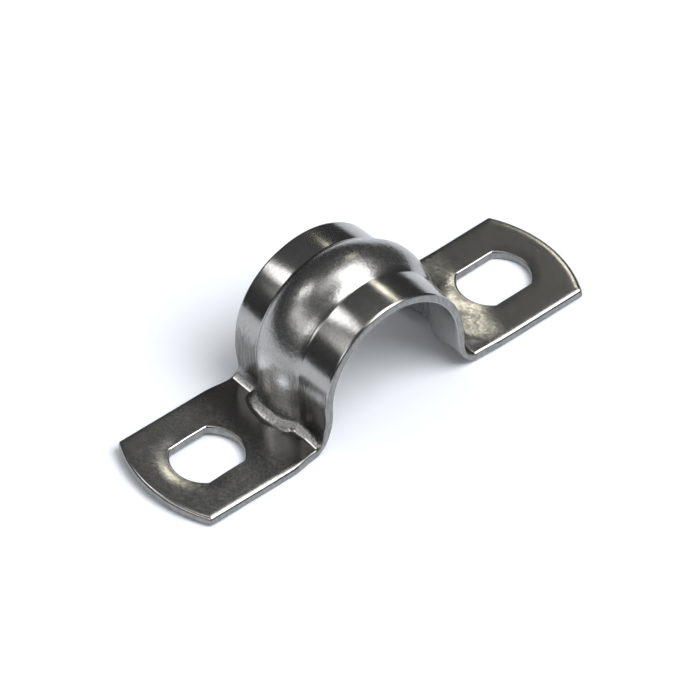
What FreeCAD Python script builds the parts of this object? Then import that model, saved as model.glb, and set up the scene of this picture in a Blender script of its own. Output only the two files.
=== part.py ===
import FreeCAD, Part
import math
import os

os.makedirs("parts", exist_ok=True)

# Driving dimensions, in millimetres
strap_width = 20.0            # along the pipe
sheet_thickness = 1.2
overall_length = 71.0         # tip to tip over the curved ends
end_radius = 21.0             # of the curved end of each ear, in plan
ear_corner_radius = 0.5       # where the side meets the curved end, in plan
pipe_seat_radius = 11.2       # inside of the arch, beside the bead
pipe_axis_height = 7.3        # centre of the arch above the ears' underside
foot_radius = 2.2             # bend from the ear to the leg, on the upper side
bead_width = 9.0              # across the raised bead at its foot
bead_height = 1.35            # crown of the bead above the arch beside it
bead_offset = 0.4             # of the bead's middle line from the strap's, along +Y
bead_foot_radius = 2.4        # bend from the ear to the bead, on the upper side
hole_offset = 0.45            # of a screw hole's centre from the middle of its ear, toward the tip
hole_diameter = 10.4          # across the round ends of a screw hole
hole_flat_gap = 8.3           # between the two flats of a screw hole
die_roll_radius = 0.3         # pressed rounding of the strap's upper edges
hole_edge_break = 0.2         # slope on a screw hole's upper edge, in plan and in height

# Working values for tools that cut or overlap
overcut = 2.0                 # how far a cutting tool runs past a face
tool_overlap = 1.0            # how deep the bead solids sink into the arch solids
on_edge = 1e-4                # how close a point lies to count as on a line
edge_samples = 5              # points tested along an edge

# Sizes that follow from the driving dimensions
half_width = strap_width / 2
tip = overall_length / 2
arch_radius = pipe_seat_radius + sheet_thickness
bead_half_width = bead_width / 2
crown_radius = (bead_half_width ** 2 + bead_height ** 2) / (2 * bead_height)
crown_axis = arch_radius + bead_height - crown_radius
bead_inner_x = pipe_seat_radius - tool_overlap
foot_reach = arch_radius + foot_radius
end_centre = tip - end_radius
side_end = end_centre + math.sqrt(end_radius ** 2 - half_width ** 2)
hole_centre = (foot_reach + tip) / 2 + hole_offset
hole_half_chord = math.sqrt((hole_diameter / 2) ** 2 - (hole_flat_gap / 2) ** 2)

PIPE_AXIS = FreeCAD.Vector(0, 1, 0)
UP = FreeCAD.Vector(0, 0, 1)
SIDES = (-1, 1)


def point(x, y, z):
    return FreeCAD.Vector(x, y, z)


def line(a, b):
    return Part.LineSegment(a, b).toShape()


def arc(a, middle, b):
    return Part.Arc(a, middle, b).toShape()


def on_circle(cx, cz, radius, degrees):
    """A point in the X-Z plane on a circle about (cx, cz)."""
    angle = math.radians(degrees)
    return point(cx + radius * math.cos(angle), 0, cz + radius * math.sin(angle))


def face_within(edges):
    return Part.Face(Part.Wire(Part.__sortEdges__(edges)))


# Side outline of one skin: foot bend, leg, arch, leg, foot bend
def skin_edges(leg_x, bend_radius):
    bend_z = sheet_thickness + foot_radius
    left_foot = [on_circle(-foot_reach, bend_z, bend_radius, a) for a in (270, 315, 360)]
    right_foot = [on_circle(foot_reach, bend_z, bend_radius, a) for a in (180, 225, 270)]
    left_spring = point(-leg_x, 0, pipe_axis_height)
    right_spring = point(leg_x, 0, pipe_axis_height)
    top = point(0, 0, pipe_axis_height + leg_x)
    return [arc(*left_foot), line(left_foot[-1], left_spring), arc(left_spring, top, right_spring),
            line(right_spring, right_foot[0]), arc(*right_foot)]


def skin_fill(leg_x, bend_radius, ear_z, floor_z, reach):
    """Everything under one skin, down to floor_z and out to reach, as wide as the strap."""
    outline = [point(foot_reach, 0, ear_z), point(reach, 0, ear_z), point(reach, 0, floor_z),
               point(-reach, 0, floor_z), point(-reach, 0, ear_z), point(-foot_reach, 0, ear_z)]
    below = [line(a, b) for a, b in zip(outline, outline[1:]) if a.distanceToPoint(b) > on_edge]
    face = face_within(skin_edges(leg_x, bend_radius) + below)
    face.translate(PIPE_AXIS * -half_width)
    return face.extrude(PIPE_AXIS * strap_width)


# Bead: a circular-arc section carried over the arch and straight down both legs
def bead_over_arch(radius):
    y_end = math.sqrt(radius ** 2 - (bead_inner_x - crown_axis) ** 2)
    low = point(bead_inner_x, -y_end, pipe_axis_height)
    high = point(bead_inner_x, y_end, pipe_axis_height)
    crown = point(crown_axis + radius, 0, pipe_axis_height)
    section = Part.Face(Part.Wire([arc(low, crown, high), line(high, low)]))
    section.translate(PIPE_AXIS * bead_offset)
    return section.revolve(point(0, 0, pipe_axis_height), -PIPE_AXIS, 180)


def bead_leg(side, radius, bend_radius, floor_z):
    """One leg of the bead, turned about its crown's axis, with the flare that runs out into the ear."""
    bend_x = crown_radius + bead_foot_radius
    bend_z = sheet_thickness + bead_foot_radius
    bend = [on_circle(bend_x, bend_z, bend_radius, a) for a in (270, 225, 180)]
    rest = [bend[-1], point(radius, 0, pipe_axis_height), point(0, 0, pipe_axis_height),
            point(0, 0, floor_z), point(bend_x, 0, floor_z), bend[0]]
    outline = [arc(*bend)] + [line(a, b) for a, b in zip(rest, rest[1:])]
    turned = face_within(outline).revolve(point(0, 0, 0), UP, 360)
    turned.translate(point(side * crown_axis, bead_offset, 0))
    corner = point(bead_inner_x, -half_width, floor_z)
    keep = Part.makeBox(bend_x, strap_width, pipe_axis_height - floor_z, corner)
    return turned.common(keep if side > 0 else keep.mirror(point(0, 0, 0), point(1, 0, 0)))


def with_bead(fill, radius, bend_radius, floor_z):
    fill = fill.fuse(bead_over_arch(radius))
    for side in SIDES:
        fill = fill.fuse(bead_leg(side, radius, bend_radius, floor_z))
    return fill.removeSplitter()


# The pressed sheet lies between its upper skin and its lower skin
def upper_fill():
    fill = skin_fill(arch_radius, foot_radius, sheet_thickness, 0, tip)
    return with_bead(fill, crown_radius, bead_foot_radius, sheet_thickness / 2)


def lower_fill():
    fill = skin_fill(pipe_seat_radius, foot_radius + sheet_thickness, 0, -overcut, foot_reach)
    return with_bead(fill, crown_radius - sheet_thickness, bead_foot_radius + sheet_thickness, -overcut)


# Plan outline of the blank, with curved ends and eased corners
def blank_outline():
    quadrants = ((-1, -1), (1, -1), (1, 1), (-1, 1))
    near_left, near_right, far_right, far_left = [
        point(s * side_end, t * half_width, -overcut) for s, t in quadrants]
    edges = [line(near_left, near_right), arc(near_right, point(tip, 0, -overcut), far_right),
             line(far_right, far_left), arc(far_left, point(-tip, 0, -overcut), near_left)]
    full_height = pipe_axis_height + arch_radius + bead_height
    blank = face_within(edges).extrude(UP * (full_height + 2 * overcut))
    upright = [e for e in blank.Edges if abs(e.tangentAt(e.FirstParameter).dot(UP)) > 1 - on_edge]
    return blank.makeFillet(ear_corner_radius, upright)


# Screw hole: a circle cut off by two flats that run along the strap
def screw_hole(side):
    centre_x, flat_y = side * hole_centre, hole_flat_gap / 2
    left, right = centre_x - hole_half_chord, centre_x + hole_half_chord
    left_end, right_end = centre_x - hole_diameter / 2, centre_x + hole_diameter / 2
    a, b = point(left, -flat_y, -overcut), point(right, -flat_y, -overcut)
    c, d = point(right, flat_y, -overcut), point(left, flat_y, -overcut)
    edges = [line(a, b), arc(b, point(right_end, 0, -overcut), c),
             line(c, d), arc(d, point(left_end, 0, -overcut), a)]
    return face_within(edges).extrude(UP * (sheet_thickness + 2 * overcut))


# The upper edges are rounded or broken, the lower edges stay sharp
def upper_outline():
    inner, outer = point(foot_reach, 0, sheet_thickness), point(tip, 0, sheet_thickness)
    ears = [line(inner, outer), line(point(-inner.x, 0, inner.z), point(-outer.x, 0, outer.z))]
    return Part.Compound(skin_edges(arch_radius, foot_radius) + ears)


def on_blank_rim(p):
    return abs(abs(p.y) - half_width) < on_edge or abs(p.x) > side_end - 2 * ear_corner_radius


def on_hole_rim(p):
    return math.hypot(abs(p.x) - hole_centre, p.y) < hole_diameter / 2 + on_edge


def edge_lies(edge, on_rim, outline):
    """Does this edge lie on a rim and on the upper skin, all along?"""
    first, last = edge.FirstParameter, edge.LastParameter
    steps = [first + (last - first) * i / (edge_samples - 1) for i in range(edge_samples)]
    along = [edge.valueAt(step) for step in steps]
    beside = [Part.Vertex(point(p.x, 0, p.z)) for p in along]
    return all(on_rim(p) for p in along) and all(outline.distToShape(v)[0] < on_edge for v in beside)


def rim_edges(sheet, on_rim):
    outline = upper_outline()
    return [e for e in sheet.Edges if edge_lies(e, on_rim, outline)]


strap = upper_fill().cut(lower_fill()).common(blank_outline())
for side in SIDES:
    strap = strap.cut(screw_hole(side))
strap = strap.removeSplitter()
strap = strap.makeFillet(die_roll_radius, rim_edges(strap, on_blank_rim))
strap = strap.makeChamfer(hole_edge_break, rim_edges(strap, on_hole_rim)).Solids[0]
strap.exportStep("parts/pipe_strap.step")
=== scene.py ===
import math

import bmesh
import bpy
import numpy as np
from mathutils import Matrix, Vector


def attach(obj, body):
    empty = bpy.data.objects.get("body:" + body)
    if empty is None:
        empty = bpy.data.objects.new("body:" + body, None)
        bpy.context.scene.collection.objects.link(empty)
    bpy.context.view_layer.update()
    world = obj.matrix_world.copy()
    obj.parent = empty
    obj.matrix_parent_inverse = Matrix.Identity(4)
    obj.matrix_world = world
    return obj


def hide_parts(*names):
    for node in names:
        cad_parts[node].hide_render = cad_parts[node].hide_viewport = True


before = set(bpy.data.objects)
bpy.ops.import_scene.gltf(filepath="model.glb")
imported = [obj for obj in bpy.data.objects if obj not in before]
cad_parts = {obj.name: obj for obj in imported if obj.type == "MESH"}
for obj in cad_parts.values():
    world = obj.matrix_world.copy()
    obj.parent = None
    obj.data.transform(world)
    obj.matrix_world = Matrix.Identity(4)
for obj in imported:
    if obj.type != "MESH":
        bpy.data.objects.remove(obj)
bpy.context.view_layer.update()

MM_PER_METRE = 1000
TINY = 1e-9                   # keeps a division from being by nothing

# Sizes, in millimetres, as in the CAD source
SHEET = 1.2
HALF_WIDTH = 10.0
ARCH_RADIUS = 12.4
AXIS_Z = 7.3
TIP = 35.5
END_RADIUS = 21.0
CORNER_RADIUS = 0.5
BEAD_Y = 0.4
BEAD_RADIUS = 8.175
BEAD_AXIS = 5.575
HOLE_X = 25.5
HOLE_RADIUS = 5.2
HOLE_FLAT = 4.15

# Finer shape than the CAD's, read off the photograph, in millimetres
RIM_ROLL = 0.42               # rounding of the strap's upper edge
HOLE_ROLL = 0.26              # rounding of a hole's upper edge
BURR = 0.06                   # tiny rounding of the lower edges
HALF_ROUND = 0.3              # a rounding's inset half-way round, as a share of its radius
LAND = 0.06                   # strip between an edge's rounding and the face's grid
CREASE = 0.10                 # spread of the fillet where the bead meets the strap
PLAIN_CREASE = 0.3            # spread of that fillet on the underside
SEAM_X = 17.6                 # where the bent middle meets the flat ear
BEND_EASE = 0.05              # over which a bend's changes of slope are smoothed
FLARE_SHARE = 0.96            # how much of its own bend the bead has at its crown
FLARE_FADE = (22, 46)         # degrees round the bead over which its bend gives way to the strap's
RISE_LIMIT = 3.4              # the highest that the bead may stand above the plain skin

# How finely the mesh is divided
EAR_ROWS, FOOT_ROWS, LEG_ROWS, ARCH_ROWS = 10, 60, 12, 60
BEND_SAMPLES = 601
HALVINGS = 30                                 # of the span in which the bead's height is looked for
EDGE_TURNS = (0, 16, 32, 48, 64, 78, 90)      # degrees round an edge's rounding
WALL_SHARES = (0.12, 0.5, 0.85)               # of the way down the cut face below it
WALL_FIRST, WALL_LAST = 4, 10                 # steps between which an edge is bare cut metal
SIDE_POINTS, CORNER_POINTS, END_POINTS = 31, 8, 23
EAR_RINGS = 17
RING_CROWDING = 1.15                          # above 1, the rings crowd toward the ear's rim
SAME_POINT = 3e-7                             # points closer than this are joined, in metres
DIGITS = 7                                    # to which places across the strap are told apart
LAST_GAP = 0.1                                # the least from the last wide step to the rim's land
WIDE_STEP = 0.28
# Over and beside the bead, as (from, to, step) across the strap
STRETCHES = ((-6.5, -5.3, 0.15), (-5.3, -3.6, 0.08), (-3.6, -2.4, 0.15), (-2.4, 3.2, 0.28), (3.2, 4.4, 0.15),
             (4.4, 5.7, 0.08), (5.7, 7.2, 0.15))

# The bends from the ear up to the leg, each a list of (length along the skin from the ear, slope in degrees)
RIM_BEND = ((0, 0), (0.06, 7), (0.18, 13), (0.30, 25), (0.92, 30), (1.00, 48), (1.50, 58), (2.00, 67),
            (2.70, 79), (3.40, 90))
MID_BEND = ((0, 0), (0.08, 7), (0.26, 13), (0.38, 25), (1.32, 29), (1.40, 48), (1.60, 58), (1.90, 72),
            (2.35, 82), (2.90, 90))
NEAR_BEND = ((0, 0), (0.06, 9), (0.28, 14), (0.38, 25), (1.57, 29), (1.67, 48), (1.95, 58), (2.15, 72),
             (2.50, 84), (2.90, 90))
FAR_BEND = ((0, 0), (0.08, 8), (0.20, 16), (0.30, 24), (1.12, 30), (1.20, 48), (1.40, 60), (1.70, 72),
            (2.20, 83), (2.80, 90))
BEAD_BEND = ((0, 0), (0.20, 8), (0.50, 21), (1.60, 27), (1.78, 31), (1.86, 50), (2.15, 66), (2.90, 78),
             (3.80, 85), (4.80, 90))
# What the margins would do if they ran on under the bead: an even bend
UNDER_BEND_LENGTH = 2.83
UNDER_BEND = tuple((UNDER_BEND_LENGTH * i / 9, 10.0 * i) for i in range(10))
# The underside follows plainer bends
PLAIN_RIM = ((0, 0), (0.25, 28), (1.10, 44), (2.20, 60), (3.40, 76), (4.60, 90))
PLAIN_BEND = ((0, 0), (0.69, 18), (1.38, 36), (2.08, 54), (2.77, 72), (3.46, 90))
BEAD_PLAIN = ((0, 0), (3.77, 90))
# From the near rim to the far margin, as (place across the strap, bend there)
PRESSED = ((-10.0, RIM_BEND), (-6.8, MID_BEND), (-4.5, NEAR_BEND), (-3.7, UNDER_BEND), (4.3, UNDER_BEND),
           (5.2, FAR_BEND))
PLAIN = ((-10.0, PLAIN_RIM), (-6.0, PLAIN_BEND), (10.0, PLAIN_BEND))


# Soft steps: a zone is the pair of places between which a value changes
def rises(v, zone):
    """0 before the zone and 1 after it."""
    start, end = zone
    t = np.clip((v - start) / (end - start), 0, 1)
    return t * t * (3 - 2 * t)


def falls(v, zone):
    return 1 - rises(v, zone)


# The bends
def bend_at(bends, y):
    """The bend at one place across the strap, between the ones given."""
    where = [place for place, _ in bends]
    tables = np.array([table for _, table in bends], float)
    return np.stack([[np.interp(y, where, tables[:, i, j]) for j in (0, 1)] for i in range(tables.shape[1])])


def bend_curve(table):
    """(way gone, way in toward the leg, height, slope) along a bend, from the ear."""
    table = np.array(table, float)
    s = np.linspace(0, table[-1, 0], BEND_SAMPLES)
    slope = np.radians(np.interp(s, table[:, 0], table[:, 1]))
    half = max(1, int(BEND_EASE / s[1]))
    kernel = np.hanning(2 * half + 1)
    padded = np.concatenate([np.full(half, slope[0]), slope, np.full(half, slope[-1])])
    slope = np.convolve(padded, kernel / kernel.sum(), "valid")
    inward = np.concatenate([[0], np.cumsum(np.cos(slope[:-1]) * s[1])])
    height = np.concatenate([[0], np.cumsum(np.sin(slope[:-1]) * s[1])])
    return s, inward, height, slope


# The skin of the bent middle
def section_rows():
    """(side, part, t) of each row from the left seam over the arch to the right seam."""
    half = []
    for part, count in (("ear", EAR_ROWS), ("foot", FOOT_ROWS), ("leg", LEG_ROWS)):
        half += [(part, t) for t in np.linspace(0, 1, count + 1)[:-1]]
    half += [("arch", t) for t in np.linspace(0, 1, ARCH_ROWS + 1)]
    return [(-1, k, t) for k, t in half] + [(1, k, t) for k, t in half[-2::-1]]


def profile_point(part, t, curve):
    """(distance from mid strap, height, outward normal's two parts) on the skin without the bead."""
    s, inward, height, slope = curve
    foot_start = ARCH_RADIUS + inward[-1]
    if part == "ear":
        return SEAM_X + (foot_start - SEAM_X) * t, SHEET, 0, 1
    if part == "foot":
        at = s[-1] * t
        lean = np.interp(at, s, slope)
        return (foot_start - np.interp(at, s, inward), SHEET + np.interp(at, s, height),
                math.sin(lean), math.cos(lean))
    if part == "leg":
        low = SHEET + height[-1]
        return ARCH_RADIUS, low + (AXIS_Z - low) * t, 1, 0
    turn = math.pi / 2 * (1 - t)
    across, up = math.sin(turn), math.cos(turn)
    return ARCH_RADIUS * across, AXIS_Z + ARCH_RADIUS * up, across, up


def margin_profile(rows, ys, bends):
    """The skin without the bead, as four arrays with a row for each row and a column for each y."""
    columns = []
    for y in ys:
        curve = bend_curve(bend_at(bends, y))
        columns.append([profile_point(part, t, curve) for _, part, t in rows])
    return np.array(columns, float).transpose(2, 1, 0)


def bead_distance(a, y, z, bend):
    """How far a point lies outside the bead, level with it. Negative inside."""
    over = np.hypot(np.hypot(a, z - AXIS_Z) - BEAD_AXIS, y - BEAD_Y) - BEAD_RADIUS
    _, inward, height, _ = bend
    flare = np.interp(z - SHEET, height, inward[-1] - inward)
    degrees_round = np.degrees(np.arctan2(np.abs(y - BEAD_Y), a - BEAD_AXIS))
    flare = flare * FLARE_SHARE * falls(degrees_round, FLARE_FADE)
    leg = np.hypot(a - BEAD_AXIS, y - BEAD_Y) - BEAD_RADIUS - flare
    return np.where(z >= AXIS_Z, over, leg)


def bead_rise(a, z, na, nz, ys, bend):
    """How far the bead stands above the plain profile, along the profile's normal."""
    y = np.broadcast_to(ys, a.shape)
    inside = bead_distance(a, y, z, bend) < 0
    low, high = np.zeros(a.shape), np.full(a.shape, RISE_LIMIT)
    for _ in range(HALVINGS):
        mid = (low + high) / 2
        within = bead_distance(a + mid * na, y, z + mid * nz, bend) < 0
        low, high = np.where(within, mid, low), np.where(within, high, mid)
    return np.where(inside, low, 0)


def smoothing(at, spread):
    """Matrix that averages samples at the places given with a bell of that spread."""
    gap = np.gradient(at)
    w = np.exp(-((at[:, None] - at[None, :]) / spread) ** 2 / 2) * gap[None, :]
    return w / w.sum(1, keepdims=True)


def skin(rows, ys, bends, bead, spread):
    """Points and outward unit normals of a skin, rows by columns."""
    a, z, na, nz = margin_profile(rows, ys, bends)
    mid = len(ys) // 2
    sides = np.array([side for side, _, _ in rows], float)
    step = np.hypot(np.diff(a[:, mid] * sides), np.diff(z[:, mid]))
    along = np.concatenate([[0], np.cumsum(step)])
    rise = bead_rise(a, z, na, nz, ys, bend_curve(bead))
    rise = smoothing(along, spread) @ rise @ smoothing(ys, spread).T
    side = sides[:, None]
    p = np.stack([side * (a + rise * na), np.broadcast_to(ys, a.shape), z + rise * nz], 2)
    n = np.cross(np.gradient(p, axis=0), np.gradient(p, axis=1))
    n /= np.linalg.norm(n, axis=2, keepdims=True)
    outward = (n * np.stack([side * na, 0 * na, nz], 2)).sum(2, keepdims=True)
    return p, np.where(outward < 0, -n, n)


# The way round an edge, from top to bottom
def edge_steps(roll):
    """(inset from the cut edge, depth below the upper skin) over the rounding and down the cut face."""
    turns = np.radians(EDGE_TURNS)
    steps = [(roll * (1 - math.sin(t)), roll * (1 - math.cos(t))) for t in turns]
    steps += [(0, roll + (SHEET - roll) * share) for share in WALL_SHARES]
    half_turned = BURR * HALF_ROUND
    steps += [(0, SHEET - BURR), (half_turned, SHEET - half_turned), (BURR, SHEET), (roll + LAND, SHEET)]
    return steps


def middle_columns():
    inner = HALF_WIDTH - RIM_ROLL - LAND
    near, far = STRETCHES[0][0], STRETCHES[-1][1]
    stretches = [(-inner, near, WIDE_STEP), *STRETCHES, (far, inner - LAST_GAP, WIDE_STEP)]
    return np.concatenate([np.arange(*stretch) for stretch in stretches] + [[inner]])


def middle_vertices(rows, cols):
    """Closed loops round the sheet, one per row."""
    steps = edge_steps(RIM_ROLL)
    sides = np.array([HALF_WIDTH - inset for inset, _ in steps])
    every = np.unique(np.round(np.concatenate([cols, sides, -sides]), DIGITS))
    top, _ = skin(rows, every, PRESSED, BEAD_BEND, CREASE)
    plain, n = skin(rows, every, PLAIN, BEAD_PLAIN, PLAIN_CREASE)
    index = {round(v, DIGITS): i for i, v in enumerate(every)}

    def column(y, depth):
        i = index[round(y, DIGITS)]
        share = depth / SHEET
        return top[:, i] * (1 - share) + (plain[:, i] - SHEET * n[:, i]) * share

    loop = [column(y, 0) for y in cols]
    loop += [column(HALF_WIDTH - inset, depth) for inset, depth in steps]
    loop += [column(y, SHEET) for y in cols[-2:0:-1]]
    loop += [column(inset - HALF_WIDTH, depth) for inset, depth in steps[::-1]]
    return np.stack(loop, 1)


# The flat ears
def ear_outline(inset):
    """Plan points of the right ear's edge from its near seam round the end to its far seam."""
    cx_end = TIP - END_RADIUS
    cy = HALF_WIDTH - CORNER_RADIUS
    cx = cx_end + math.sqrt((END_RADIUS - CORNER_RADIUS) ** 2 - cy ** 2)
    lean = math.atan2(cy, cx - cx_end)
    near = [(x, inset - HALF_WIDTH) for x in np.linspace(SEAM_X, cx, SIDE_POINTS)]
    rc = CORNER_RADIUS - inset
    turns = np.linspace(-math.pi / 2, -lean, CORNER_POINTS)[1:]
    near += [(cx + rc * math.cos(t), -cy + rc * math.sin(t)) for t in turns]
    end = END_RADIUS - inset
    turns = np.linspace(-lean, 0, END_POINTS)[1:]
    near += [(cx_end + end * math.cos(t), end * math.sin(t)) for t in turns]
    return np.array(near + [(x, -y) for x, y in near[-2::-1]])


def hole_point(turn, inset):
    """Plan points on the flat-sided hole, widened by inset, in the directions given."""
    radius, flat = HOLE_RADIUS + inset, HOLE_FLAT + inset
    corner = math.asin(flat / radius)
    turn = turn.copy()
    for c in (corner, math.pi - corner, -corner, corner - math.pi):
        turn[np.argmin(np.abs(np.angle(np.exp(1j * (turn - c)))))] = c
    reach = np.minimum(radius, flat / np.maximum(np.abs(np.sin(turn)), TINY))
    return np.stack([HOLE_X + reach * np.cos(turn), reach * np.sin(turn)], 1)


def grid_faces(rows, cols, closed):
    """Four-cornered faces between rows of points, each row closed to a loop or not."""
    i, j = np.meshgrid(np.arange(rows - 1), np.arange(cols if closed else cols - 1), indexing="ij")
    k = (j + 1) % cols
    return np.stack([i * cols + j, i * cols + k, (i + 1) * cols + k, (i + 1) * cols + j], -1).reshape(-1, 4)


def ear_edge(roll, plan_at):
    """(plan, depth) of an edge: its land, its rounding and its cut face."""
    steps = [(roll + LAND, 0)] + edge_steps(roll)
    plan = np.stack([plan_at(inset) for inset, _ in steps])
    return plan, np.array([np.full(plan.shape[1], depth) for _, depth in steps])


def ear_parts(side, cols):
    """(points, faces, which faces are bare cut metal) of an ear's two faces, its edge and its hole's."""
    outer = ear_outline(RIM_ROLL + LAND)
    seam = np.array([(SEAM_X, y) for y in cols[-2:0:-1]])
    loop = np.concatenate([outer, seam])
    turn = np.arctan2(loop[:, 1], loop[:, 0] - HOLE_X)
    inner = hole_point(turn, HOLE_ROLL + LAND)
    blend = np.linspace(0, 1, EAR_RINGS)[:, None, None] ** RING_CROWDING
    face = loop[None] * (1 - blend) + inner[None] * blend
    parts = [(face, np.full(face.shape[:2], depth), True, False) for depth in (0, SHEET)]
    parts.append((*ear_edge(RIM_ROLL, ear_outline), False, True))
    parts.append((*ear_edge(HOLE_ROLL, lambda inset: hole_point(turn, inset)), True, True))
    out = []
    for plan, depth, closed, is_edge in parts:
        rows, count = depth.shape
        p = np.concatenate([plan * [side, 1], (SHEET - depth)[..., None]], 2)
        step = np.arange(rows - 1) - 1
        wall = is_edge & (step >= WALL_FIRST) & (step < WALL_LAST)
        across = count if closed else count - 1
        out.append((p.reshape(-1, 3), grid_faces(rows, count, closed), np.repeat(wall, across)))
    return out


# How the photographed strap is bent and dented. Sizes are in millimetres and slopes are rise over run. Each
# pair is a zone over which the change sets in, or over which it fades again where its name has END or TOP:
# OUT is away from mid strap, UP from the wall, LEFT and RIGHT along the strap, FAR toward +Y, NEAR toward -Y
# and RIM from the strap's middle line toward either rim.
LEFT_TILT, TILT_START = math.tan(math.radians(1.17)), 12.8
LEFT_TWIST, TWIST_LEFT = math.tan(math.radians(1.62)), (2.0, 12.4)
EAR_OUT = (16.0, 18.5)
HOLE_SHARPNESS = 5.0          # of the corners where a hole's round ends meet its flats
LEFT_DISH, LEFT_DISH_SPREAD = 0.165, 1.5
LEFT_DISH_LEFT = (25.0, 28.5)
RIGHT_DISH, RIGHT_DISH_SPREAD = 0.04, 0.8
EDGE_DROOP, EDGE_DROOP_WAY = 0.14, 1.05
# The right ear's slope up to the arch, where it starts, how that start is skewed, and where it ends
RIGHT_RISE, RISE_START, RISE_SKEW, RISE_END = 0.104, 21.3, 0.187, 15.5
RISE_EASE = 0.45              # over which the slope sets in
NEAR_RIM_END, NEAR_RIM_NEAR = 1.5, (6.5, 9.5)   # how much sooner it ends at the near rim
# What it loses across the strap, as (toward +Y or -Y, zone, share)
RISE_LOSSES = ((-1, (6.5, 11.0), 0.65), (1, (1.0, 6.0), 0.7), (-1, (0.5, 4.5), 0.4))
UNDER_ARCH_OUT = (6.0, 12.0)
LEFT_RISE, LEFT_RISE_END_LEFT = 0.06, (14.2, 19.5)
# How far the rims are drawn in: the far one over the arch, and both at the feet
ARCH_DRAWN, ARCH_DRAWN_FAR, ARCH_DRAWN_UP = 0.3, (2.0, 10.0), (2.0, 9.0)
LEFT_FOOT_DRAWN, RIGHT_FOOT_DRAWN = 0.6, 0.2
FOOT_OUT, FOOT_END_OUT, FOOT_TOP_UP = (10.2, 11.4), (14.0, 18.6), (2.6, 6.5)
FOOT_RIM = (4.5, 10.5)
# How the arch's margins fall toward the rims
MARGIN_FALL, MARGIN_FALL_START, MARGIN_FALL_WAY = 0.18, 4.5, 5.6
MARGIN_FALL_UP = (4.0, 9.0)


def hole_distance(x, y):
    """How far a plan point lies outside the rim of the nearer screw hole."""
    round_end = np.hypot(np.abs(x) - HOLE_X, y) - HOLE_RADIUS
    flat = np.abs(y) - HOLE_FLAT
    return np.log(np.exp(HOLE_SHARPNESS * round_end) + np.exp(HOLE_SHARPNESS * flat)) / HOLE_SHARPNESS


def left_ear_rise(x, y):
    """How far the left ear's tilt and twist lift a point."""
    tilt = LEFT_TILT * np.clip(-TILT_START - x, 0, None)
    return tilt + LEFT_TWIST * y * rises(-x, TWIST_LEFT)


def ear_dents(x, y):
    """How deep the upper side lies in the dishes by the screw holes and along the ears' edges."""
    rim_way = np.clip(hole_distance(x, y), 0, None)
    left = LEFT_DISH * np.exp(-(rim_way / LEFT_DISH_SPREAD) ** 2) * rises(-x, LEFT_DISH_LEFT)
    right = RIGHT_DISH * np.exp(-(rim_way / RIGHT_DISH_SPREAD) ** 2)
    from_end = END_RADIUS - np.hypot(np.abs(x) + END_RADIUS - TIP, y)
    from_edge = np.minimum(HALF_WIDTH - np.abs(y), from_end)
    droop = EDGE_DROOP * np.clip(1 - from_edge / EDGE_DROOP_WAY, 0, 1) ** 2
    return rises(np.abs(x), EAR_OUT) * (np.where(x < 0, left, right) + droop)


def run_in_rise(x, y):
    """How far the ears rise toward the arch, the right one more, and least at its rims."""
    nearest = RISE_END + NEAR_RIM_END * rises(-y, NEAR_RIM_NEAR)
    way = RISE_START + RISE_SKEW * y - np.maximum(x, nearest)
    slope = RIGHT_RISE
    for toward, zone, share in RISE_LOSSES:
        slope = slope * (1 - share * rises(toward * y, zone))
    right = slope * RISE_EASE * np.log1p(np.exp(way / RISE_EASE)) * rises(x, UNDER_ARCH_OUT)
    return right + LEFT_RISE * falls(-x, LEFT_RISE_END_LEFT) * rises(-x, UNDER_ARCH_OUT)


def drawn_in(x, y, z):
    """What is taken off a point's Y where the arch's far rim and both rims at the feet are drawn in."""
    out = np.abs(x)
    arch = ARCH_DRAWN * rises(y, ARCH_DRAWN_FAR) * rises(z, ARCH_DRAWN_UP)
    at_foot = rises(out, FOOT_OUT) * falls(out, FOOT_END_OUT) * falls(z, FOOT_TOP_UP)
    amount = np.where(x < 0, LEFT_FOOT_DRAWN, RIGHT_FOOT_DRAWN)
    return arch + amount * np.sign(y) * rises(np.abs(y), FOOT_RIM) * at_foot


def settled(p):
    """The strap as it is in the photograph, from its plain shape."""
    x, y, z = p.T
    beside_bead = np.clip((np.abs(y - BEAD_Y) - MARGIN_FALL_START) / MARGIN_FALL_WAY, 0, 1) ** 2
    fall = MARGIN_FALL * beside_bead * rises(z, MARGIN_FALL_UP) / (np.hypot(x, z - AXIS_Z) + TINY)
    on_top = np.clip(z / SHEET, 0, 1)
    rise = left_ear_rise(x, y) + run_in_rise(x, y) - on_top * ear_dents(x, y)
    return np.stack([x - fall * x, y - drawn_in(x, y, z), z - fall * (z - AXIS_Z) + rise], 1)


def strap_mesh():
    """Points, faces, and which faces are bare cut metal."""
    rows, cols = section_rows(), middle_columns()
    tube = middle_vertices(rows, cols)
    loop_end = tube.shape[1]
    wall = np.zeros(loop_end, bool)
    wall[len(cols) + WALL_FIRST:len(cols) + WALL_LAST] = True
    wall[loop_end - WALL_LAST:loop_end - WALL_FIRST] = True
    parts = [(tube.reshape(-1, 3), grid_faces(*tube.shape[:2], True), np.tile(wall, len(rows) - 1))]
    for side in (-1, 1):
        parts += ear_parts(side, cols)
    points, faces, cut, base = [], [], [], 0
    for p, f, c in parts:
        points.append(p)
        faces.append(f + base)
        cut.append(c)
        base += len(p)
    return np.concatenate(points), np.concatenate(faces), np.concatenate(cut)


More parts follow.
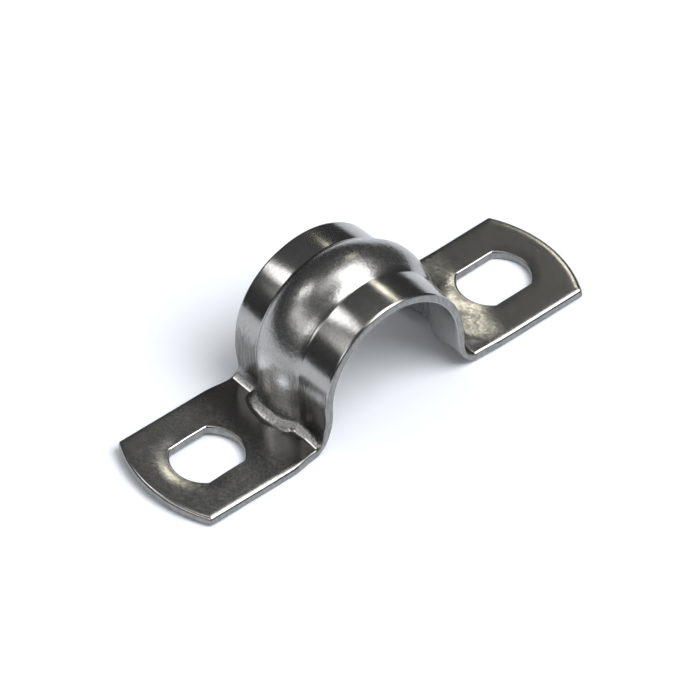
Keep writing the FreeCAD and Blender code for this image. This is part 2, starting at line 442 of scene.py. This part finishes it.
# Where the metal is worn, and where shade and sheen are painted into its colour, as zones in millimetres
# named like those of the dents
LEG_OUT, LEG_TOP_UP = (11.0, 12.4), (8.0, 13.0)
PRESS_UP, PRESS_TOP_UP, PRESS_END_OUT = (1.25, 1.6), (2.4, 4.2), (16.2, 17.2)
# The legs' draw streaks, whose dulling also darkens the legs as painted shade
DRAW_AND_SHADE_UP, DRAW_AND_SHADE_CREST_OUT, DRAW_AND_SHADE_CREST_LOSS = (2.2, 4.0), (12.7, 13.3), 0.85
BEAD_ABOVE_SKIN, BEAD_UP = (0.05, 0.6), (2.5, 4.0)
RUN_RIGHT, RUN_END_RIGHT = (13.5, 15.5), (20.4, 22.6)
FLAT_OUT, FLAT_TOP_UP = (15.0, 18.0), (1.7, 2.2)
FLAT_SHIFT = 1.5              # how much farther left it lies on both ears
# Painted shade: darker colour on the left ear by its foot, low on the left leg and on the legs' far margin,
# standing in for dark reflections
EAR_SHADE_LEFT, EAR_SHADE_END_LEFT, EAR_SHADE_TOP_UP = (13.0, 14.0), (16.5, 24.0), (1.21, 1.3)
NEAR_SHADE_UP, NEAR_SHADE_TOP_UP, NEAR_SHADE_END_FAR = (1.8, 2.2), (4.2, 7.0), (-5.4, -4.2)
NEAR_SHADE_LEAST, NEAR_SHADE_MORE, NEAR_SHADE_MORE_FAR = 0.25, 0.6, (-9.4, -7.6)
FAR_SHADE, FAR_SHADE_FAR = 0.45, (4.6, 6.0)
FAR_SHADE_UP, FAR_SHADE_TOP_UP = (2.0, 3.5), (8.0, 11.0)
# Painted sheen: lighter colour on the legs and on the left ear, standing in for a brighter reflection
SHEEN_OUT, SHEEN_UP, SHEEN_TOP_UP = (12.5, 13.2), (2.2, 3.5), (8.0, 12.0)
LEFT_EAR_SHEEN = 0.28


def painted_shades(x, y, z, leg):
    """Painted shade, as darker colour: on the left ear by its foot, low on the left leg, and on both legs'
    far margin.
    """
    ear = rises(-x, EAR_SHADE_LEFT) * falls(-x, EAR_SHADE_END_LEFT) * falls(z, EAR_SHADE_TOP_UP)
    near = falls(z, NEAR_SHADE_TOP_UP) * rises(z, NEAR_SHADE_UP) * falls(y, NEAR_SHADE_END_FAR) * (x < 0)
    near = near * (NEAR_SHADE_LEAST + NEAR_SHADE_MORE * rises(y, NEAR_SHADE_MORE_FAR))
    far = FAR_SHADE * leg * rises(y, FAR_SHADE_FAR) * rises(z, FAR_SHADE_UP) * falls(z, FAR_SHADE_TOP_UP)
    return np.maximum(np.maximum(ear, near), far)


def wear_and_light_masks(p):
    """How strongly each kind of wear and of painted light shows at each point of the plain shape, from 0 to
    1.

    press is the galling in the bends, draw_and_shade the streaks down the legs, whose dulling also darkens
    the legs as painted shade, bead the peel on the bead, run the patches where the right ear rises, flat the
    ears, painted_shade darker colour standing in for shade and painted_sheen lighter colour standing in for a
    brighter reflection.
    """
    x, y, z = p.T
    out = np.abs(x)
    leg = rises(out, LEG_OUT) * falls(z, LEG_TOP_UP)
    above_skin = np.hypot(x, np.clip(z - AXIS_Z, 0, None)) - ARCH_RADIUS
    flat = rises(np.abs(x + FLAT_SHIFT), FLAT_OUT) * falls(z, FLAT_TOP_UP)
    bead_leg = rises(out, SHEEN_OUT) * rises(z, SHEEN_UP) * falls(z, SHEEN_TOP_UP)
    return {
        "press": rises(z, PRESS_UP) * falls(z, PRESS_TOP_UP) * falls(out, PRESS_END_OUT),
        # Draw streaks, whose dulling also darkens the legs as painted shade
        "draw_and_shade": leg * rises(z, DRAW_AND_SHADE_UP) * (1 - DRAW_AND_SHADE_CREST_LOSS * rises(out, DRAW_AND_SHADE_CREST_OUT)),
        "bead": rises(above_skin, BEAD_ABOVE_SKIN) * rises(z, BEAD_UP),
        "run": rises(x, RUN_RIGHT) * falls(x - RISE_SKEW * y, RUN_END_RIGHT),
        "flat": flat,
        # Painted shade: darker colour standing in for dark reflections
        "painted_shade": painted_shades(x, y, z, leg),
        # Painted sheen: lighter colour standing in for a brighter reflection
        "painted_sheen": np.maximum(bead_leg, LEFT_EAR_SHEEN * flat * (x < 0)),
    }


def strap_object(name, material, cut_material):
    """The strap with its wear and painted light masks as attributes and its cut faces in the second material.
    """
    plain, faces, cut = strap_mesh()
    mesh = bpy.data.meshes.new(name)
    mesh.from_pydata((settled(plain) / MM_PER_METRE).tolist(), [], faces.tolist())
    mesh.materials.append(material)
    mesh.materials.append(cut_material)
    mesh.polygons.foreach_set("material_index", cut.astype(np.int32))
    for key, values in wear_and_light_masks(plain).items():
        mesh.attributes.new(key, "FLOAT", "POINT").data.foreach_set("value", values.astype(np.float32))
    bm = bmesh.new()
    bm.from_mesh(mesh)
    bmesh.ops.remove_doubles(bm, verts=bm.verts, dist=SAME_POINT)
    bmesh.ops.recalc_face_normals(bm, faces=bm.faces)
    bm.to_mesh(mesh)
    bm.free()
    mesh.polygons.foreach_set("use_smooth", [True] * len(mesh.polygons))
    obj = bpy.data.objects.new(name, mesh)
    bpy.context.scene.collection.objects.link(obj)
    return obj


# The steel's look
SOUND_METAL = (0.40, 0.395, 0.385, 1)
# The lighter colour of the painted sheen
PAINTED_SHEEN_METAL = (0.70, 0.693, 0.678, 1)
# The darker colour of both the dull grain and the painted shade
DULL_AND_SHADED_METAL = (0.16, 0.157, 0.152, 1)
BUMP_UNIT = 1e-6              # a bump of 1 is a thousandth of a millimetre, here in metres
NOISE_SPAN = (0.3, 0.7)       # between which nearly all of a noise lies
STEEL_NOISES = {
    "broad": dict(Scale=0.45, Detail=2.0),
    "medium": dict(Scale=1.7, Detail=3.0),
    "fine": dict(Scale=7.0, Detail=2.0),
    "streak": dict(stretch=(3.2, 3.2, 0.22), Scale=1.0, Detail=2.0),
    "lumps": dict(Scale=2.1, Detail=3.0, Roughness=0.65),
    "patches": dict(Scale=1.1, Detail=3.0, Roughness=0.5),
    "peel": dict(Scale=1.3, Detail=2.0, Roughness=0.6),
    "speckle": dict(Scale=2.5, Detail=3.0, Roughness=0.75),
}
# The masks, of wear and of painted shade and sheen
WEAR_AND_PAINTED_LIGHT = ("press", "draw_and_shade", "bead", "run", "flat", "painted_shade", "painted_sheen")
# Bumps as (noise, height), everywhere, and as (noise, wear it shows in, height)
STEEL_BUMPS = (("broad", 14.0), ("medium", 3.0), ("fine", 2.4))
WEAR_BUMPS = (("lumps", "press", 120.0), ("streak", "draw_and_shade", 45.0), ("patches", "run", 15.0),
              ("peel", "bead", 26.0))
STEEL_ROUGHNESS, GRAIN_ROUGHNESS = (0.145, 0.19), (-0.02, 0.03)
WEAR_ROUGHNESS = (("press", 0.11), ("flat", 0.01), ("draw_and_shade", 0.05), ("bead", 0.09))
# How dull the streaks are, whose dulling on the legs is partly painted shade, how deep the painted shade is,
# how dull the speckles are, and how much of the speckles is off the ears
STREAK_SPAN, STREAK_AND_SHADE_DULL = (0.42, 0.64), (0.2, 0.85)
PAINTED_SHADE_DEPTH = 0.95
SPECKLE_SPAN, SPECKLE_DULL = (0.35, 0.65), (-0.12, 0.46)
SPECKLE_OFF_EARS = 0.45

# The cut edge's look
CUT_DARK, CUT_LIGHT = (0.22, 0.218, 0.215, 1), (0.33, 0.328, 0.324, 1)
SHEAR_LINES = dict(stretch=(3.0, 3.0, 0.7), Scale=1.0, Detail=3.0, Roughness=0.6)
SHEAR_SPAN, SHEAR_BUMP = (0.35, 0.65), 30.0
CUT_GRAIN = dict(Scale=4.0, Detail=2.0)
CUT_ROUGHNESS, CUT_GRAIN_BUMP = (0.34, 0.5), 6.0

# The floor's colours, as it lights the strap and as it is seen
FLOOR_LIT, FLOOR_SEEN = (0.88, 0.9, 0.92, 1), (1.07, 1.11, 1.17, 1)


# Node helpers
def texture(tree, coords, stretch=(1, 1, 1), **values):
    """A noise laid over the strap's own coordinates in millimetres, stretched by axis."""
    place = tree.nodes.new("ShaderNodeMapping")
    place.inputs["Scale"].default_value = [MM_PER_METRE * s for s in stretch]
    node = tree.nodes.new("ShaderNodeTexNoise")
    for name, value in values.items():
        node.inputs[name].default_value = value
    tree.links.new(coords, place.inputs["Vector"])
    tree.links.new(place.outputs["Vector"], node.inputs["Vector"])
    return node.outputs[0]


def mask(tree, name):
    """One of the strap's wear and painted light masks."""
    node = tree.nodes.new("ShaderNodeAttribute")
    node.attribute_name = name
    return node.outputs["Fac"]


def math_node(tree, operation, a, b):
    node = tree.nodes.new("ShaderNodeMath")
    node.operation = operation
    for socket, value in zip(node.inputs, (a, b)):
        if isinstance(value, (int, float)):
            socket.default_value = value
        else:
            tree.links.new(value, socket)
    return node.outputs[0]


def product(tree, first, *rest):
    for value in rest:
        first = math_node(tree, "MULTIPLY", first, value)
    return first


def total(tree, first, *rest):
    for value in rest:
        first = math_node(tree, "ADD", first, value)
    return first


def ranged(tree, value, span, to):
    """The value carried over from its span to another one, and held at that one's ends."""
    node = tree.nodes.new("ShaderNodeMapRange")
    for name, number in zip(("From Min", "From Max", "To Min", "To Max"), (*span, *to)):
        node.inputs[name].default_value = number
    tree.links.new(value, node.inputs["Value"])
    return node.outputs[0]


def colour_mix(tree, factor, a, b):
    """Colour between a and b. Each is a constant or a socket."""
    node = tree.nodes.new("ShaderNodeMix")
    node.data_type = "RGBA"
    tree.links.new(factor, node.inputs["Factor"])
    for key, value in (("A", a), ("B", b)):
        if isinstance(value, tuple):
            node.inputs[key].default_value = value
        else:
            tree.links.new(value, node.inputs[key])
    return node.outputs["Result"]


def metal(name):
    """A material with a metallic shader, its node tree and the strap's coordinates."""
    mat = bpy.data.materials.new(name)
    mat.use_nodes = True
    tree = mat.node_tree
    shader = tree.nodes["Principled BSDF"]
    shader.inputs["Metallic"].default_value = 1.0
    return mat, tree, shader, tree.nodes.new("ShaderNodeTexCoord").outputs["Object"]


def add_bump(tree, shader, height):
    bump = tree.nodes.new("ShaderNodeBump")
    bump.inputs["Distance"].default_value = BUMP_UNIT
    bump.inputs["Strength"].default_value = 1.0
    tree.links.new(height, bump.inputs["Height"])
    tree.links.new(bump.outputs[0], shader.inputs["Normal"])


# Materials
def steel_roughness(tree, noise, wear_and_light):
    return total(
        tree,
        ranged(tree, noise["medium"], NOISE_SPAN, STEEL_ROUGHNESS),
        ranged(tree, noise["fine"], NOISE_SPAN, GRAIN_ROUGHNESS),
        *[product(tree, wear_and_light[kind], amount) for kind, amount in WEAR_ROUGHNESS])


def steel_height(tree, noise, wear_and_light):
    return total(
        tree,
        *[product(tree, noise[name], height) for name, height in STEEL_BUMPS],
        *[product(tree, noise[name], wear_and_light[kind], height) for name, kind, height in WEAR_BUMPS])


def steel_colour(tree, noise, wear_and_light):
    # The streaks' dulling is real streaks and partly painted shade on the legs
    streaks_and_shade = ranged(tree, noise["streak"], STREAK_SPAN, STREAK_AND_SHADE_DULL)
    speckles = ranged(tree, noise["speckle"], SPECKLE_SPAN, SPECKLE_DULL)
    on_ears = ranged(tree, wear_and_light["flat"], (0, 1), (SPECKLE_OFF_EARS, 1))
    # Darker colour from the streaks, the painted shade and the speckles; all but the speckles are partly or
    # wholly painted shade
    dull_and_shade = total(
        tree,
        product(tree, streaks_and_shade, wear_and_light["draw_and_shade"]),
        product(tree, wear_and_light["painted_shade"], PAINTED_SHADE_DEPTH),
        product(tree, speckles, on_ears))
    dull_and_shade = math_node(tree, "MAXIMUM", math_node(tree, "MINIMUM", dull_and_shade, 1.0), 0.0)
    # Painted sheen: the colour is lifted toward a lighter one where a brighter reflection is painted
    sound = colour_mix(tree, wear_and_light["painted_sheen"], SOUND_METAL, PAINTED_SHEEN_METAL)
    return colour_mix(tree, dull_and_shade, sound, DULL_AND_SHADED_METAL)


def steel_material():
    """Rolled sheet: bright, faintly pebbled, with draw streaks on the legs and galling in the bends, and with
    painted shade and a painted sheen in its colour.
    """
    mat, tree, shader, coords = metal("strap_steel")
    noise = {name: texture(tree, coords, **look) for name, look in STEEL_NOISES.items()}
    wear_and_light = {name: mask(tree, name) for name in WEAR_AND_PAINTED_LIGHT}
    tree.links.new(steel_roughness(tree, noise, wear_and_light), shader.inputs["Roughness"])
    tree.links.new(steel_colour(tree, noise, wear_and_light), shader.inputs["Base Color"])
    add_bump(tree, shader, steel_height(tree, noise, wear_and_light))
    return mat


def cut_steel_material():
    """Sheared edge: duller, with shear lines through the sheet's thickness."""
    mat, tree, shader, coords = metal("strap_cut_edge")
    shear, grain = texture(tree, coords, **SHEAR_LINES), texture(tree, coords, **CUT_GRAIN)
    tone = colour_mix(tree, ranged(tree, shear, SHEAR_SPAN, (0, 1)), CUT_DARK, CUT_LIGHT)
    tree.links.new(tone, shader.inputs["Base Color"])
    tree.links.new(ranged(tree, grain, NOISE_SPAN, CUT_ROUGHNESS), shader.inputs["Roughness"])
    height = total(tree, product(tree, shear, SHEAR_BUMP), product(tree, grain, CUT_GRAIN_BUMP))
    add_bump(tree, shader, height)
    return mat


def floor_material():
    """Pale paper. To the camera and to the metal it is the bright white of the photograph."""
    mat = bpy.data.materials.new("floor_paper")
    mat.use_nodes = True
    tree = mat.node_tree
    nodes, links = tree.nodes, tree.links
    nodes.clear()
    plain, seen = nodes.new("ShaderNodeBsdfDiffuse"), nodes.new("ShaderNodeBsdfDiffuse")
    plain.inputs["Color"].default_value = FLOOR_LIT
    seen.inputs["Color"].default_value = FLOOR_SEEN
    path = nodes.new("ShaderNodeLightPath")
    either = math_node(tree, "MAXIMUM", path.outputs["Is Camera Ray"], path.outputs["Is Glossy Ray"])
    mix, out = nodes.new("ShaderNodeMixShader"), nodes.new("ShaderNodeOutputMaterial")
    links.new(either, mix.inputs[0])
    links.new(plain.outputs[0], mix.inputs[1])
    links.new(seen.outputs[0], mix.inputs[2])
    links.new(mix.outputs[0], out.inputs["Surface"])
    return mat


# The camera, fitted to the photograph, in millimetres and pixels
PICTURE_PX = 700
FOCAL_PX = 14898.6
DISTANCE = 2037.62
RIGHT_PX, UP_PX = 1.7355, -22.6792            # of the origin from the picture's middle
YAW, PITCH, ROLL = math.radians(36.6813), math.radians(44.0622), math.radians(-4.3466)
SENSOR = 36.0                                 # width of the camera's sensor
CLIP_START, CLIP_END = 0.05, 50               # metres


def make_camera():
    fwd = Vector((math.sin(YAW) * math.cos(PITCH), math.cos(YAW) * math.cos(PITCH), -math.sin(PITCH)))
    level = Vector((math.cos(YAW), -math.sin(YAW), 0))
    above = level.cross(fwd)
    right = level * math.cos(ROLL) + above * math.sin(ROLL)
    up = above * math.cos(ROLL) - level * math.sin(ROLL)
    place = -fwd * DISTANCE - (right * RIGHT_PX + up * UP_PX) * DISTANCE / FOCAL_PX
    data = bpy.data.cameras.new("camera")
    data.sensor_width = SENSOR
    data.lens = FOCAL_PX * SENSOR / PICTURE_PX
    data.clip_start, data.clip_end = CLIP_START, CLIP_END
    cam = bpy.data.objects.new("camera", data)
    turned = Matrix((right, up, -fwd)).transposed().to_4x4()
    cam.matrix_world = Matrix.Translation(place / MM_PER_METRE) @ turned
    bpy.context.scene.collection.objects.link(cam)
    bpy.context.scene.camera = cam


# Floor, lamps and world, in metres
FLOOR_HALF = 0.45
FLOOR_Z = -0.00024            # just below the left foot's near rim, the strap's lowest place
SKY = (0.97, 0.98, 1, 1)
SKY_SPAN, SKY_STRENGTH = (0.0, 0.9), (0.04, 0.13)     # from the horizon up, and how bright there
LAMP_MIDDLE = 0.5             # of a lamp's own coordinates, which run from 0 to 1


def make_floor():
    mesh = bpy.data.meshes.new("floor")
    corners = ((-1, -1), (1, -1), (1, 1), (-1, 1))
    mesh.from_pydata([(FLOOR_HALF * x, FLOOR_HALF * y, FLOOR_Z) for x, y in corners], [], [(0, 1, 2, 3)])
    mesh.materials.append(floor_material())
    floor = bpy.data.objects.new("floor", mesh)
    bpy.context.scene.collection.objects.link(floor)


def soft_box(name, azimuth, elevation, distance, size, radiance, colour=(1, 1, 1), core=0.5, roll=0):
    """An area lamp in that direction from the strap, fading from its core to its edges."""
    az, el = math.radians(azimuth), math.radians(elevation)
    away = Vector((math.cos(el) * math.cos(az), math.cos(el) * math.sin(az), math.sin(el)))
    data = bpy.data.lights.new(name, "AREA")
    data.shape = "RECTANGLE"
    data.size, data.size_y = size
    data.energy = radiance * math.pi * size[0] * size[1]
    data.color = colour
    data.use_nodes = True
    tree = data.node_tree
    place, split = tree.nodes.new("ShaderNodeNewGeometry"), tree.nodes.new("ShaderNodeSeparateXYZ")
    tree.links.new(place.outputs["Parametric"], split.inputs[0])
    fades = []
    for axis in ("X", "Y"):
        off_centre = math_node(tree, "SUBTRACT", split.outputs[axis], LAMP_MIDDLE)
        off_centre = math_node(tree, "ABSOLUTE", off_centre, 0)
        fades.append(ranged(tree, off_centre, (core / 2, LAMP_MIDDLE), (1, 0)))
    tree.links.new(product(tree, *fades), tree.nodes["Emission"].inputs["Strength"])
    lamp = bpy.data.objects.new(name, data)
    lamp.location = away * distance
    facing = away.to_track_quat("Z", "Y").to_matrix() @ Matrix.Rotation(math.radians(roll), 3, "Z")
    lamp.rotation_euler = facing.to_euler()
    bpy.context.scene.collection.objects.link(lamp)
    return lamp


def make_lamps():
    key = soft_box("key", azimuth=4, elevation=65.5, distance=1.1, size=(0.86, 0.82), radiance=3.2, core=0.6)
    key.visible_diffuse = False
    soft_box("front", azimuth=-60, elevation=57, distance=1.1, size=(1.0, 1.0), radiance=6.6)
    soft_box("zenith", azimuth=95, elevation=78, distance=1.0, size=(0.7, 0.5), radiance=0.9)
    soft_box("left_front", azimuth=120.5, elevation=49, distance=1.0, size=(0.29, 0.33), radiance=3.4,
             core=0.55)
    soft_box("left_wide", azimuth=172, elevation=38, distance=1.0, size=(1.25, 0.42), radiance=1.35, roll=-14)
    soft_box("left_low", azimuth=-157, elevation=36, distance=1.0, size=(0.34, 0.36), radiance=2.3, core=0.4)
    soft_box("small_warm", azimuth=42.6, elevation=38.4, distance=1.2, size=(0.16, 0.16), radiance=6.2,
             colour=(1, 0.965, 0.8), core=0.3)


def make_world():
    """A dim studio, darker toward the horizon."""
    world = bpy.data.worlds.new("studio")
    world.use_nodes = True
    tree = world.node_tree
    background = tree.nodes["Background"]
    background.inputs["Color"].default_value = SKY
    place, split = tree.nodes.new("ShaderNodeTexCoord"), tree.nodes.new("ShaderNodeSeparateXYZ")
    tree.links.new(place.outputs["Generated"], split.inputs[0])
    strength = ranged(tree, split.outputs["Z"], SKY_SPAN, SKY_STRENGTH)
    tree.links.new(strength, background.inputs["Strength"])
    bpy.context.scene.world = world


make_camera()
make_floor()
make_world()
make_lamps()
strap = strap_object("strap", steel_material(), cut_steel_material())
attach(strap, "root")
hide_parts("pipe_strap")
bpy.context.scene.view_settings.view_transform = "Standard"
